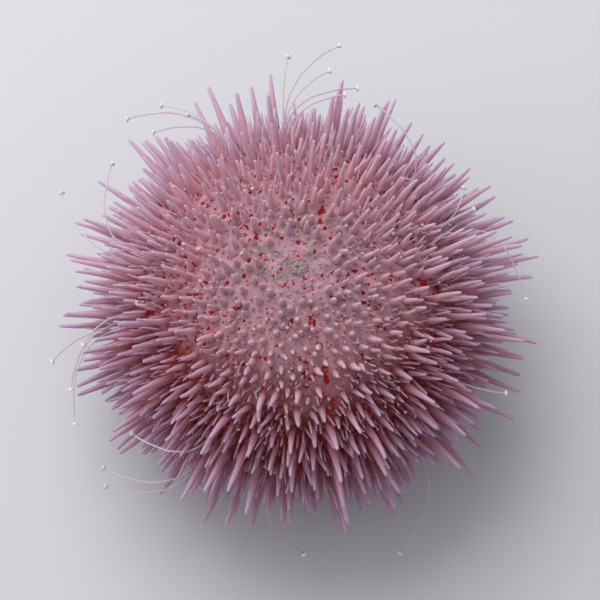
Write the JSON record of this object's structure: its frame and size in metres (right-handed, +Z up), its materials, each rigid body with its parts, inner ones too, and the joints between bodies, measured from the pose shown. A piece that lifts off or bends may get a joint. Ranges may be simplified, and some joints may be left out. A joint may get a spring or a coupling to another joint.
{
  "type": "sea urchin",
  "caption": "Round sea urchin with a squashed globe of a shell in five-fold bands, a dense coat of short blunt spines and long thin tube feet.",
  "frame": {"origin": "centre of the whole animal's box, at the height of the floor that it stands on", "axes": "+Z up out of the middle of the lid of plates, +Y away from the camera's side of the picture"},
  "size_m": [0.1008, 0.1038, 0.0573],
  "materials": {
    "ambulacrum": "matte, skin over calcite",
    "interambulacrum": "matte, skin over calcite",
    "apical_disc": "matte skin over calcite plates",
    "periproct": "matte skin",
    "peristome": "moist skin",
    "tooth": "satin enamel-like"
  },
  "bodies": {
    "root": {"ambulacrum_1": "ambulacrum", "ambulacrum_2": "ambulacrum", "ambulacrum_3": "ambulacrum", "ambulacrum_4": "ambulacrum", "ambulacrum_5": "ambulacrum", "interambulacrum_1": "interambulacrum", "interambulacrum_2": "interambulacrum", "interambulacrum_3": "interambulacrum", "interambulacrum_4": "interambulacrum", "interambulacrum_5": "interambulacrum", "apical_disc": "apical_disc", "periproct": "periproct", "peristome": "peristome", "tooth_1": "tooth", "tooth_2": "tooth", "tooth_3": "tooth", "tooth_4": "tooth", "tooth_5": "tooth"}
  },
  "joints": []
}
